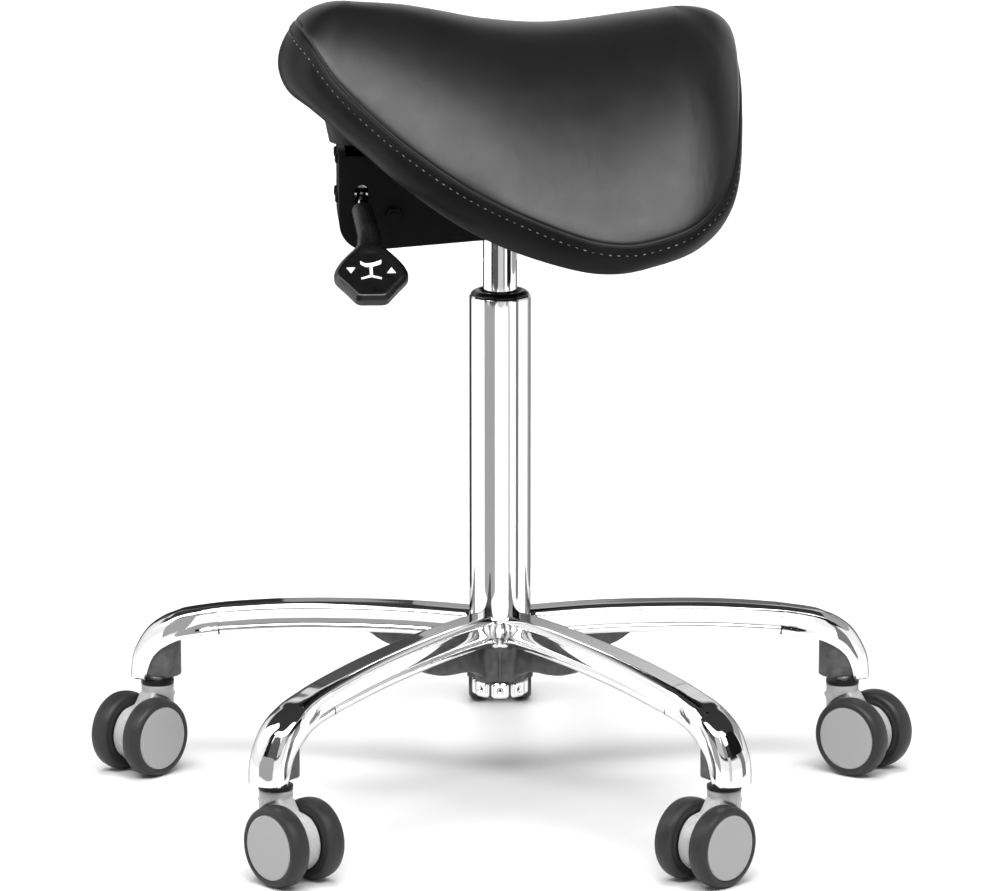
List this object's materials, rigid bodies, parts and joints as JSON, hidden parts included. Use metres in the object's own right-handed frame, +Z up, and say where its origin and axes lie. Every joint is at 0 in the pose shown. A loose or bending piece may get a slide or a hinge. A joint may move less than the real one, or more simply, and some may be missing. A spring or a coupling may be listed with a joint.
{
  "type": "saddle stool",
  "caption": "Height-adjustable saddle stool with a tilting upholstered seat, gas column and a five-leg polished base on twin-wheel castors.",
  "frame": {"origin": "on the floor, under the axis of the gas column", "axes": "+Z up; -Y towards the front of the saddle (its narrow pommel); +X towards the sitter's left, where the height lever is"},
  "size_m": [0.6626, 0.6834, 0.6602],
  "materials": {
    "polished_aluminium": "mirror polished casting",
    "chrome": "bright chrome plate",
    "steel": "bright machined",
    "black_steel": "satin black powder coat",
    "black_plastic": "fine moulded grain",
    "leather": "semi-gloss, fine grain",
    "caster_grey": "satin moulded",
    "tyre_grey": "soft satin rubber"
  },
  "bodies": {
    "base": {"star_base": "polished_aluminium", "hub_end_ring": "chrome", "column_tube": "chrome", "guide_bush": "black_plastic", "column_end_plate": "steel", "thrust_bearing": "steel", "caster_stems": "steel", "stem_collars": "black_plastic"},
    "lift_rod": {"piston_rod": "steel", "retaining_clip": "steel", "gas_piston": "black_plastic"},
    "lift_tube": {"pressure_tube": "chrome", "tube_gland": "black_plastic", "mechanism_housing": "black_steel", "housing_screws": "steel", "lever_bracket": "black_steel", "lever_pivot_pin": "steel", "tilt_bolt": "steel", "tilt_nut": "steel"},
    "release_pin": {"release_pin": "steel"},
    "height_lever": {"height_lever_rod": "chrome", "height_lever_handle": "black_plastic"},
    "tilt_lever": {"tilt_lever": "black_plastic"},
    "seat": {"seat_plate": "black_steel", "seat_bolts": "steel", "seat_adapter": "black_plastic", "seat_shell": "black_plastic", "seat_cushion": "leather"},
    "caster_right": {"caster_right_body": "caster_grey", "caster_right_axle": "steel"},
    "caster_right_wheel_left": {"caster_right_core_left": "caster_grey", "caster_right_tyre_left": "tyre_grey"},
    "caster_right_wheel_right": {"caster_right_core_right": "caster_grey", "caster_right_tyre_right": "tyre_grey"},
    "caster_front_right": {"caster_front_right_body": "caster_grey", "caster_front_right_axle": "steel"},
    "caster_front_right_wheel_left": {"caster_front_right_core_left": "caster_grey", "caster_front_right_tyre_left": "tyre_grey"},
    "caster_front_right_wheel_right": {"caster_front_right_core_right": "caster_grey", "caster_front_right_tyre_right": "tyre_grey"},
    "caster_front_left": {"caster_front_left_body": "caster_grey", "caster_front_left_axle": "steel"},
    "caster_front_left_wheel_left": {"caster_front_left_core_left": "caster_grey", "caster_front_left_tyre_left": "tyre_grey"},
    "caster_front_left_wheel_right": {"caster_front_left_core_right": "caster_grey", "caster_front_left_tyre_right": "tyre_grey"},
    "caster_rear_left": {"caster_rear_left_body": "caster_grey", "caster_rear_left_axle": "steel"},
    "caster_rear_left_wheel_left": {"caster_rear_left_core_left": "caster_grey", "caster_rear_left_tyre_left": "tyre_grey"},
    "caster_rear_left_wheel_right": {"caster_rear_left_core_right": "caster_grey", "caster_rear_left_tyre_right": "tyre_grey"},
    "caster_rear_right": {"caster_rear_right_body": "caster_grey", "caster_rear_right_axle": "steel"},
    "caster_rear_right_wheel_left": {"caster_rear_right_core_left": "caster_grey", "caster_rear_right_tyre_left": "tyre_grey"},
    "caster_rear_right_wheel_right": {"caster_rear_right_core_right": "caster_grey", "caster_rear_right_tyre_right": "tyre_grey"}
  },
  "joints": [
    {"name": "seat_swivel", "type": "hinge", "parent": "base", "child": "lift_rod", "pos_m": [0, 0, 0.11], "axis": [0, 0, 1], "continuous": true},
    {"name": "height_lift", "type": "slide", "parent": "lift_rod", "child": "lift_tube", "axis": [0, 0, 1], "range_m": [0, 0.2]},
    {"name": "seat_tilt", "type": "hinge", "parent": "lift_tube", "child": "seat", "pos_m": [0, -0.087, 0.493], "axis": [1, 0, 0], "range_deg": [0, 8]},
    {"name": "height_lever_lift", "type": "hinge", "parent": "lift_tube", "child": "height_lever", "pos_m": [0.024, -0.113, 0.508], "axis": [0, -1, 0], "range_deg": [0, 9], "stiffness_Nm_per_rad": 1.2, "springref_deg": -6.88},
    {"name": "release_pin_press", "type": "slide", "parent": "lift_tube", "child": "release_pin", "axis": [0, 0, -1], "range_m": [0, 0.004]},
    {"name": "tilt_lever_turn", "type": "hinge", "parent": "lift_tube", "child": "tilt_lever", "pos_m": [-0.05, -0.087, 0.493], "axis": [-1, 0, 0], "range_deg": [0, 70]},
    {"name": "caster_right_swivel", "type": "hinge", "parent": "base", "child": "caster_right", "pos_m": [-0.29959, 0.0157, 0.06], "axis": [0, 0, 1], "continuous": true},
    {"name": "caster_right_wheel_left_roll", "type": "hinge", "parent": "caster_right", "child": "caster_right_wheel_left", "pos_m": [-0.32156, 0.01685, 0.0328], "axis": [-0.0523, -0.9986, 0], "continuous": true},
    {"name": "caster_right_wheel_right_roll", "type": "hinge", "parent": "caster_right", "child": "caster_right_wheel_right", "pos_m": [-0.32156, 0.01685, 0.0328], "axis": [-0.0523, -0.9986, 0], "continuous": true},
    {"name": "caster_front_right_swivel", "type": "hinge", "parent": "base", "child": "caster_front_right", "pos_m": [-0.10751, -0.28007, 0.06], "axis": [0, 0, 1], "continuous": true},
    {"name": "caster_front_right_wheel_left_roll", "type": "hinge", "parent": "caster_front_right", "child": "caster_front_right_wheel_left", "pos_m": [-0.09182, -0.29549, 0.0328], "axis": [0.7009, 0.7133, 0], "continuous": true},
    {"name": "caster_front_right_wheel_right_roll", "type": "hinge", "parent": "caster_front_right", "child": "caster_front_right_wheel_right", "pos_m": [-0.09182, -0.29549, 0.0328], "axis": [0.7009, 0.7133, 0], "continuous": true},
    {"name": "caster_front_left_swivel", "type": "hinge", "parent": "base", "child": "caster_front_left", "pos_m": [0.23314, -0.1888, 0.06], "axis": [0, 0, 1], "continuous": true},
    {"name": "caster_front_left_wheel_left_roll", "type": "hinge", "parent": "caster_front_left", "child": "caster_front_left_wheel_left", "pos_m": [0.25024, -0.17495, 0.0328], "axis": [-0.6293, 0.7771, 0], "continuous": true},
    {"name": "caster_front_left_wheel_right_roll", "type": "hinge", "parent": "caster_front_left", "child": "caster_front_left_wheel_right", "pos_m": [0.25024, -0.17495, 0.0328], "axis": [-0.6293, 0.7771, 0], "continuous": true},
    {"name": "caster_rear_left_swivel", "type": "hinge", "parent": "base", "child": "caster_rear_left", "pos_m": [0.2516, 0.16339, 0.06], "axis": [0, 0, 1], "continuous": true},
    {"name": "caster_rear_left_wheel_left_roll", "type": "hinge", "parent": "caster_rear_left", "child": "caster_rear_left_wheel_left", "pos_m": [0.26666, 0.14735, 0.0328], "axis": [0.729, 0.6845, 0], "continuous": true},
    {"name": "caster_rear_left_wheel_right_roll", "type": "hinge", "parent": "caster_rear_left", "child": "caster_rear_left_wheel_right", "pos_m": [0.26666, 0.14735, 0.0328], "axis": [0.729, 0.6845, 0], "continuous": true},
    {"name": "caster_rear_right_swivel", "type": "hinge", "parent": "base", "child": "caster_rear_right", "pos_m": [-0.07765, 0.28978, 0.06], "axis": [0, 0, 1], "continuous": true},
    {"name": "caster_rear_right_wheel_left_roll", "type": "hinge", "parent": "caster_rear_right", "child": "caster_rear_right_wheel_left", "pos_m": [-0.06353, 0.30666, 0.0328], "axis": [-0.7672, 0.6414, 0], "continuous": true},
    {"name": "caster_rear_right_wheel_right_roll", "type": "hinge", "parent": "caster_rear_right", "child": "caster_rear_right_wheel_right", "pos_m": [-0.06353, 0.30666, 0.0328], "axis": [-0.7672, 0.6414, 0], "continuous": true}
  ],
  "couplings": [
    {"joint": "release_pin_press", "follows": "height_lever_lift", "m_per_rad": 0.024}
  ]
}
